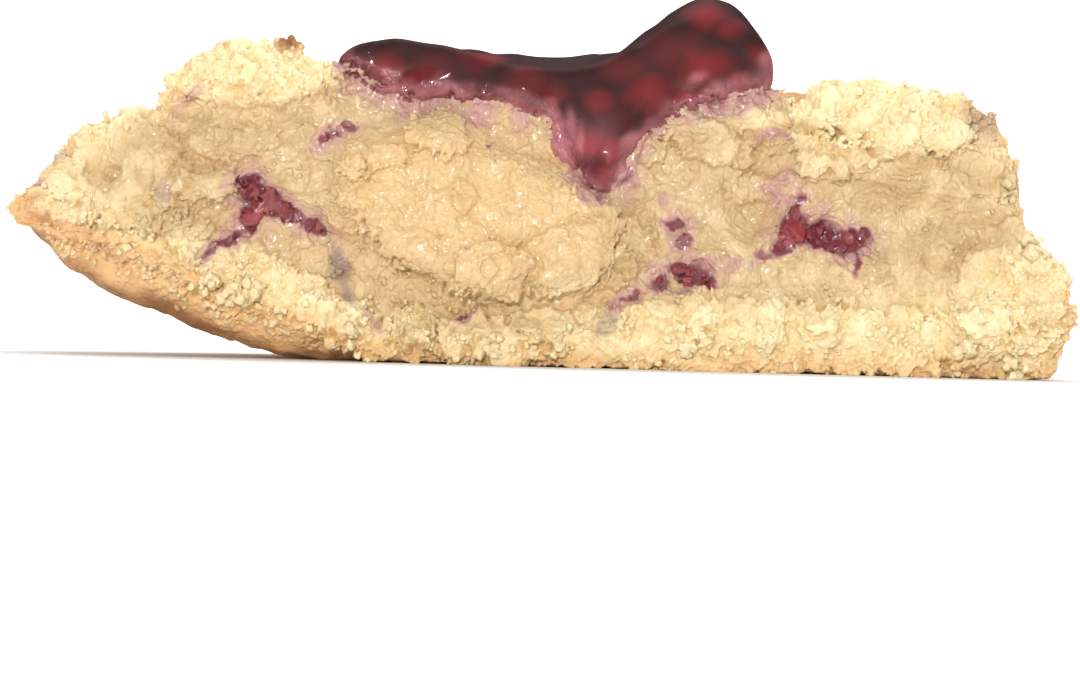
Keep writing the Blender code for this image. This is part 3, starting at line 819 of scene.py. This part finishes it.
@dataclass
class Dough:
    """The crumb and crust of the half cookie."""

    nodes: dict
    material: bpy.types.Material
    voxel: float = 0.45 * MM
    face_depth: float = 4.2 * MM
    split_depth: float = 4.8 * MM
    pocket: float = 0.6 * MM
    bed: float = 0.5 * MM
    face_cuts: tuple = (0.25, 0.5, 0.75)
    tip_reach: float = 0.8 * MM
    fineness: int = 3
    crumb_sizes: tuple = (1.7 * MM, 0.72 * MM, 0.36 * MM)
    lump_size: float = 3.0 * MM
    layer_size: float = 3.6 * MM
    layer_levels: tuple = (-0.22, 0.0, 0.22)
    layer_step: float = 0.04
    flake_step: float = 0.07
    dry: Grain = Grain(0.3, 0.18, 0.22, 0.17)
    paste: Grain = Grain(0.07, 0.6, 0.2, 0.15)
    crust_size: float = 2.2 * MM
    crust_lumps: float = 0.34
    crust_grain: float = 0.16
    set_back: float = 0.9
    under_jam: float = 0.6
    halo: float = 0.5
    halo_reach: float = 0.75
    at: np.ndarray | None = None
    out: np.ndarray | None = None
    tree: KDTree | None = None
    made_of: dict[str, np.ndarray] = field(default_factory=dict)

    def build(self) -> None:
        """Makes the broken face with its rim, and the crust behind it."""
        filling = [node for name, node in sorted(self.nodes.items()) if name != "dough"]
        mesh = remeshed([self.nodes["dough"], *filling], "dough_form", self.voxel, self.pocket, self.bed)
        soften(mesh, 2)
        self.refine(mesh)
        at, out = places(mesh)
        zones = self.zones(at, out)
        rise = self.relief(at, zones)
        at = at + out * rise[:, None]
        at[:, 0] -= self.tip_reach * (1 - smooth(-44.2, -41.0, at[:, 0] / MM))
        at[:, 2] = np.maximum(at[:, 2], 0.0)
        move(mesh, at)
        soften(mesh, 1)
        self.at, self.out = places(mesh)
        self.tree = tree_of(self.at, range(len(self.at)))
        self.made_of = zones
        limit = BREAK_Y + self.split_depth
        at_face = self.at[:, 0][self.at[:, 1] < limit]
        cuts = [-math.inf, *np.quantile(at_face, self.face_cuts).tolist(), math.inf]
        for number, span in enumerate(zip(cuts, cuts[1:]), 1):
            self.part(mesh, f"crumb_face_{number}", span, (-math.inf, limit))
        self.part(mesh, "crust_back", cuts[:: len(cuts) - 1], (limit, math.inf))
        mesh.free()

    def surface(self) -> BVHTree:
        """The finished broken face, to lay things on."""
        points, faces = [], []
        for obj in bpy.data.objects:
            if obj.name.startswith("crumb_face"):
                faces += [tuple(v + len(points) for v in p.vertices) for p in obj.data.polygons]
                points += [v.co[:] for v in obj.data.vertices]
        return BVHTree.FromPolygons(points, faces)

    def part(self, whole: bmesh.types.BMesh, name: str, along: tuple, depth: tuple) -> None:
        """One of the pieces that the dough's mesh is cut into, shaded as one surface with the others.

        Args:
            whole: the dough's mesh.
            name: the piece's name.
            along: the least and the most x in the piece.
            depth: the least and the most y in it.
        """
        mesh = whole.copy()
        for axis, (low, high) in ((0, along), (1, depth)):
            for place, side in ((low, -1), (high, 1)):
                if math.isfinite(place):
                    self.trim(mesh, axis, place, side)
        at = np.array([v.co[:] for v in mesh.verts])
        near, share = self.nearest(at)
        obj = object_from(mesh, name)
        out = (self.out[near] * share[:, :, None]).sum(axis=1)
        obj.data.normals_split_custom_set_from_vertices(out.tolist())
        store(obj, **{key: (numbers[near] * share).sum(axis=1) for key, numbers in self.made_of.items()})
        dress(obj, self.material, Slot.DOUGH, "dough")

    def trim(self, mesh: bmesh.types.BMesh, axis: int, place: float, side: int) -> None:
        """Cuts off what lies beyond a plane and closes the cut.

        Args:
            mesh: the mesh.
            axis: the plane's axis.
            place: where the plane stands on it.
            side: 1 to cut off what lies above the place, -1 what lies below.
        """
        point, out = Vector((0, 0, 0)), Vector((0, 0, 0))
        point[axis], out[axis] = place, side
        geom = [*mesh.verts, *mesh.edges, *mesh.faces]
        made = bmesh.ops.bisect_plane(
            mesh, geom=geom, dist=TINY, plane_co=point, plane_no=out, clear_outer=True
        )
        edges = [e for e in made["geom_cut"] if isinstance(e, bmesh.types.BMEdge) and e.is_boundary]
        bmesh.ops.triangle_fill(mesh, edges=edges, use_beauty=False)

    def nearest(self, at: np.ndarray) -> tuple[np.ndarray, np.ndarray]:
        """The whole dough's three vertices nearest to each place, and how much each counts."""
        found = [self.tree.find_n(place, 3) for place in at.tolist()]
        near = np.array([[index for _, index, _ in each] for each in found])
        share = 1 / (np.array([[away for _, _, away in each] for each in found]) + 1e-8)
        return near, share / share.sum(axis=1, keepdims=True)

    def refine(self, mesh: bmesh.types.BMesh) -> None:
        """Cuts the broken face into finer quads."""
        mesh.normal_update()
        limit = BREAK_Y + self.face_depth
        faces = [f for f in mesh.faces if f.calc_center_median().y < limit and f.normal.y < -0.15]
        edges = list({e for f in faces for e in f.edges})
        bmesh.ops.subdivide_edges(mesh, edges=edges, cuts=self.fineness, use_grid_fill=True)
        bmesh.ops.triangulate(mesh, faces=[f for f in mesh.faces if len(f.verts) > 4])

    def zones(self, at: np.ndarray, out: np.ndarray) -> dict[str, np.ndarray]:
        """What each vertex is made of.

        Args:
            at: the vertices' places.
            out: their normals.

        Returns:
            Numbers from 0 to 1 for moist, slab, hollow shading, stain, ash, face, browned, baked (browning
            and painted shade) and crust.
        """
        wander = np.stack([waves(at, 4 * MM), waves(at, 4 * MM, 9.0)], axis=1) * 1.3
        x, z = at[:, 0] / MM + wander[:, 0], at[:, 2] / MM + wander[:, 1]
        depth = (at[:, 1] - BREAK_Y) / MM
        face = smooth(0.05, 0.6, -out[:, 1]) * (1 - smooth(2.5, 5.0, depth))
        moist = np.clip(sum(p.weight(x, z) for p in MOIST), 0, 1)
        moist = np.clip(moist - sum(p.weight(x, z) for p in DRY), 0, 1)
        slab = np.clip(sum(p.weight(x, z, 0.2) for p in SLAB), 0, 1)
        # Where the painted shade of the recesses under the slab lies.
        hollow_shading = np.clip(sum(p.weight(x, z) for p in HOLLOW_SHADING), 0, 1)
        pool = self.distance(at, self.nodes["jam"]) / MM
        blotch = np.clip(0.75 + 0.9 * waves(at, 1.4 * MM, 5.0), 0.15, 1.1)
        halo = self.halo * np.exp(-pool / self.halo_reach) * blotch
        near = 1 - smooth(2.0, 4.5, depth)
        stain = np.maximum(juice(at, STAINS) * blotch, juice(at, HEARTS)) * near
        crust = np.maximum(1 - face, juice(at, CRUSTY) * near)
        # Darker crust: painted shade with browning under the lifted corner, browning on the flake and
        # further back.
        oven_and_shade = juice(at, BAKED_AND_SHADED) * (1 - smooth(6.0, 14.0, depth)) + 0.45 * smooth(2.5, 8.0, depth)
        base = np.interp(at[:, 0] / MM, *zip(*FACE_BASE))
        right = np.interp(at[:, 2] / MM, *zip(*FACE_RIGHT))
        inwards = np.minimum(at[:, 2] / MM - base, 1.6 * (right - at[:, 0] / MM) + 1.0)
        browned = 1 - smooth(0.0, BROWNED, inwards + 0.9 * wander[:, 0])
        return {
            "moist": moist * face, "slab": slab * face * (1 - 0.4 * hollow_shading), "hollow_shading": hollow_shading * face,
            "stain": np.clip(stain + halo, 0, 1), "ash": juice(at, ASH) * face, "face": face,
            "browned": browned, "crust": crust, "baked": oven_and_shade * crust,
        }

    def distance(self, at: np.ndarray, node: bpy.types.Object) -> np.ndarray:
        """How far each place is from a CAD node, in metres."""
        faces = [tuple(p.vertices) for p in node.data.polygons]
        tree = BVHTree.FromPolygons([v.co[:] for v in node.data.vertices], faces)
        return np.array([tree.find_nearest(p)[3] for p in at.tolist()])

    def relief(self, at: np.ndarray, zones: dict[str, np.ndarray]) -> np.ndarray:
        """How far each vertex stands out, in metres; it also notes painted shade in the gaps between
        crumbs.

        Args:
            at: the vertices' places.
            zones: what each is made of; the painted shade of the gaps is added.

        Returns:
            Heights along the normals.
        """
        x, z = at[:, 0] / MM, at[:, 2] / MM
        big, middle, small = (crumbs(at, size, 3.0 * i) for i, size in enumerate(self.crumb_sizes))
        scallops = 0.5 * big + 0.35 * middle + 0.2 * small
        edge = np.clip(0.9 * (scallops - 0.4), -0.36, 0.36)
        flakes, feet = np.zeros(len(at)), np.zeros(len(at))
        for patch in (*FLAKES, *SHEETS):
            cover = patch.weight(x, z, min(0.9, 1.6 / patch.half_z)) / patch.amount + edge
            rise, foot = terraces(cover, (0.5,), self.flake_step)
            if patch in SHEETS:
                share = smooth(1.0, -0.7, (z - patch.z) / patch.half_z)
                rise, foot = rise * share, foot * share
            flakes += patch.amount * rise
            feet = np.maximum(feet, foot)
        pits = sum(depth * np.exp(-(((x - px) ** 2 + (z - pz) ** 2) / r**2)) for px, pz, r, depth in PITS)
        pasty = np.clip(zones["moist"] + zones["slab"], 0, 1)
        wavy = waves(at, self.layer_size, 5.0) + 1.1 * (scallops - 0.4)
        layers, layer_feet = terraces(wavy, self.layer_levels, self.layer_step)
        dry = self.dry.height(layers, big, middle, small)
        paste = self.paste.height(layers, crumbs(at, self.lump_size, 9.0) ** 2, middle, small)
        broken = (1 - pasty) * dry + pasty * paste
        baked = self.crust_lumps * (speckle(at, self.crust_size, 3, 7.0) - 0.5) + self.crust_grain * middle
        # Painted shade, darkest between crumbs and at the foot of layers, steps and flakes.
        gap = 0.35 * (1 - smooth(0.05, 0.32, 0.5 * middle + 0.3 * small)) + 0.3 * layer_feet
        gap = np.clip(gap * (1 - 0.85 * pasty) + 0.28 * feet, 0, 1)
        zones["gap"] = gap * zones["face"] * (1 - zones["stain"])
        height = zones["face"] * (broken + flakes - pits - self.set_back) + (1 - zones["face"]) * baked
        covered = smooth(0.2, 1.4, z - np.interp(x, *zip(*RIM))) * (np.abs(x - JAM_X) < JAM_HALF)
        height = height * (1 - covered) - self.under_jam * covered
        tip = 1 - smooth(-44.0, -42.4, x)
        return height * (1 - tip) * MM


# Where crumbs cling in heaps: x, z and spread in millimetres, and how many crumbs.
HEAPS = (
    (-25.9, 3.9, 0.55, 26), (-24.8, 3.5, 0.4, 10), (-28.9, 5.0, 0.4, 8), (-16.2, 3.2, 0.5, 10),
    (-3.4, 1.2, 0.4, 8), (38.4, 0.9, 0.5, 12), (35.6, 1.2, 0.4, 6), (12.6, 0.8, 0.4, 6),
    (39.6, 16.4, 0.5, 9), (40.4, 13.2, 0.5, 8),
)


@dataclass
class Crumbs:
    """Loose crumbs that cling in clumps to the broken face and its rim."""

    dough: Dough
    material: bpy.types.Material
    clumps: int = 380
    most: int = 7
    reach: float = 0.45 * MM
    sizes: tuple = (0.12 * MM, 0.34 * MM)
    heaped: tuple = (0.3 * MM, 0.6 * MM)

    def weights(self) -> np.ndarray:
        """How likely a crumb is at each of the dough's vertices."""
        zones = self.dough.made_of
        pasty = np.clip(zones["moist"] + zones["slab"], 0, 1)
        depth = (self.dough.at[:, 1] - BREAK_Y) / MM
        low = 1 - smooth(14 * MM, 22 * MM, self.dough.at[:, 2])
        rim = zones["face"] * (1 - zones["face"]) * 4 * (1 - smooth(1.5, 3.0, depth)) * (0.15 + low)
        return (zones["face"] * (0.06 + 0.94 * (1 - pasty)) + 1.2 * rim) * (1 - zones["stain"]) ** 2

    def build(self) -> None:
        """Makes every crumb, as one piece."""
        dice = random.Random(SEED)
        ball = bmesh.new()
        bmesh.ops.create_icosphere(ball, subdivisions=2, radius=1.0)
        shape = np.array([v.co[:] for v in ball.verts])
        faces = np.array([[v.index for v in f.verts] for f in ball.faces])
        ball.free()
        at, out, near = self.dough.at, self.dough.out, self.dough.tree
        seeds = dice.choices(range(len(at)), weights=self.weights().tolist(), k=self.clumps)
        points, sources = [], []
        for x, z, spread, count in HEAPS:
            middle, source, _ = near.find(Vector((x * MM, BREAK_Y - 3 * MM, z * MM)))
            for _ in range(count):
                centre = np.array([place + dice.gauss(0, spread) * MM for place in middle])
                points.append(centre + shape * dice.uniform(*self.heaped))
                sources.append(source)
        for seed in seeds:
            for _ in range(dice.randint(1, self.most)):
                jump = Vector([dice.gauss(0, self.reach) for _ in range(3)])
                source = near.find(Vector(at[seed]) + jump)[1]
                radius = dice.triangular(*self.sizes, self.sizes[0])
                centre = at[source] + out[source] * radius * dice.uniform(-0.3, 0.5)
                stretch = np.array([dice.uniform(0.8, 1.25) for _ in range(3)])
                points.append(centre + shape * stretch * radius)
                sources.append(source)
        at = np.concatenate(points)
        centres = np.repeat([p.mean(axis=0) for p in points], len(shape), axis=0)
        uneven = 1 + 0.9 * waves(at, 0.3 * MM) + 0.5 * waves(at, 0.13 * MM, 3.0)
        at = centres + (at - centres) * np.clip(uneven, 0.3, 1.8)[:, None]
        at[:, 2] = np.maximum(at[:, 2], 0.0)
        data = bpy.data.meshes.new("loose_crumbs")
        ends = np.concatenate([faces + len(shape) * i for i in range(len(points))])
        data.from_pydata(at.tolist(), [], ends.tolist())
        data.shade_smooth()
        obj = bpy.data.objects.new("loose_crumbs", data)
        bpy.context.scene.collection.objects.link(obj)
        kept = {k: np.repeat(v[sources], len(shape)) for k, v in self.dough.made_of.items()}
        # Loose crumbs take none of the painted gap shade, and less crust and browning.
        for name, share in (("gap", 0.0), ("crust", 0.6), ("browned", 0.5)):
            kept[name] = kept[name] * share
        store(obj, **kept)
        dress(obj, self.material, Slot.DOUGH)


@dataclass(frozen=True)
class Lamp:
    """A square light: its place, what it points at, its side, its power and its tint."""

    name: str
    place: tuple
    aim: tuple
    side: float
    power: float
    tint: tuple = (1, 1, 1)
    mirrored: bool = True


# The key stands beside the camera, and the others soften it.
LAMPS = (
    Lamp("key", (-0.03, -0.36, 0.05), (0, 0, 0.012), 0.025, 0.62, (1, 0.98, 0.95)),
    Lamp("top_fill", (0.1, -0.1, 0.7), (0, 0, 0), 0.5, 1.2, mirrored=False),
    Lamp("backdrop_wash", (0, 0.3, 0.7), (0, 0.9, 0.2), 0.6, 9.0),
)


@dataclass
class Studio:
    """The floor, the backdrop, the lights and the camera."""

    distance: float = 250 * MM
    height: float = 4.0 * MM
    sensor: float = 36.0
    nearest: float = 10 * MM
    floor_size: float = 3.0
    floor_shade: float = 0.86
    backdrop_shade: float = 0.9
    backdrop_at: tuple = (0, 0.9, 0.4)
    room_light: float = 0.58

    def build(self) -> None:
        """Makes all of them."""
        self.stage()
        self.lights()
        self.camera()
        bpy.context.scene.view_settings.view_transform = "Standard"

    def plane(self, name: str, matrix: Matrix, shade: float) -> bpy.types.Object:
        """A plain pale sheet of the stage.

        Args:
            name: its name.
            matrix: its place and turn.
            shade: its grey.

        Returns:
            The stage's object.
        """
        mesh = bmesh.new()
        bmesh.ops.create_grid(mesh, x_segments=2, y_segments=2, size=self.floor_size / 2, matrix=matrix)
        obj = object_from(mesh, name)
        paint = Paint(name)
        paint.set(Base_Color=(shade, shade, shade, 1), Roughness=0.9, Specular_IOR_Level=0.1)
        obj.data.materials.append(paint.material)
        return obj

    def stage(self) -> None:
        """The floor and the backdrop."""
        self.plane("floor", Matrix.Identity(4), self.floor_shade)
        turned = Matrix.Translation(self.backdrop_at) @ Matrix.Rotation(math.pi / 2, 4, "X")
        backdrop = self.plane("backdrop", turned, self.backdrop_shade)
        backdrop.visible_glossy = False

    def light(self, lamp: Lamp) -> None:
        """Sets up one of the lamps."""
        data = bpy.data.lights.new(lamp.name, "AREA")
        data.size, data.energy, data.color = lamp.side, lamp.power, lamp.tint
        obj = bpy.data.objects.new(lamp.name, data)
        obj.location = lamp.place
        obj.rotation_euler = (Vector(lamp.aim) - obj.location).to_track_quat("-Z", "Y").to_euler()
        obj.visible_glossy = lamp.mirrored
        bpy.context.scene.collection.objects.link(obj)

    def lights(self) -> None:
        """The lamps and a soft world."""
        for lamp in LAMPS:
            self.light(lamp)
        world = bpy.data.worlds.new("soft_room")
        world.use_nodes = True
        background = world.node_tree.nodes["Background"]
        background.inputs["Color"].default_value = (1, 1, 1, 1)
        background.inputs["Strength"].default_value = self.room_light
        world.cycles_visibility.glossy = False
        bpy.context.scene.world = world

    def camera(self) -> None:
        """A low camera that puts the half where the photograph has it."""
        data = bpy.data.cameras.new("camera")
        data.sensor_width = self.sensor
        data.lens = self.sensor * self.distance / (PHOTO_WIDTH * PIXEL)
        data.clip_start = self.nearest
        obj = bpy.data.objects.new("camera", data)
        base_row = BASE_PIXEL[1] + BASE_SLOPE * (PHOTO_WIDTH / 2 - BASE_PIXEL[0])
        aim_z = (base_row - PHOTO_HEIGHT / 2) * PIXEL
        place = Vector((0, BREAK_Y - self.distance, self.height))
        aim = Vector((0, BREAK_Y, aim_z))
        obj.location = place
        turn = (aim - place).to_track_quat("-Z", "Y").to_matrix().to_4x4()
        roll = Matrix.Rotation(math.atan(BASE_SLOPE), 4, "Z")
        obj.rotation_euler = (turn @ roll).to_euler()
        bpy.context.scene.collection.objects.link(obj)
        bpy.context.scene.camera = obj


def main() -> None:
    """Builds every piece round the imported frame."""
    logging.basicConfig(level=logging.INFO, format="%(name)s %(message)s")
    noise.seed_set(SEED)
    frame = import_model()
    crumb = DoughFinish().make()
    dough = Dough(frame["nodes"], crumb)
    dough.build()
    Crumbs(dough, crumb).build()
    jam = Jam(frame["nodes"], JamFinish().make())
    surface = dough.surface()
    jam.pool(surface)
    for name in ("jam_vein_left", "jam_vein_middle", "jam_vein_right", "jam_streak_upper"):
        jam.vein(name, surface)
    Studio().build()


if __name__ == "__main__":
    main()
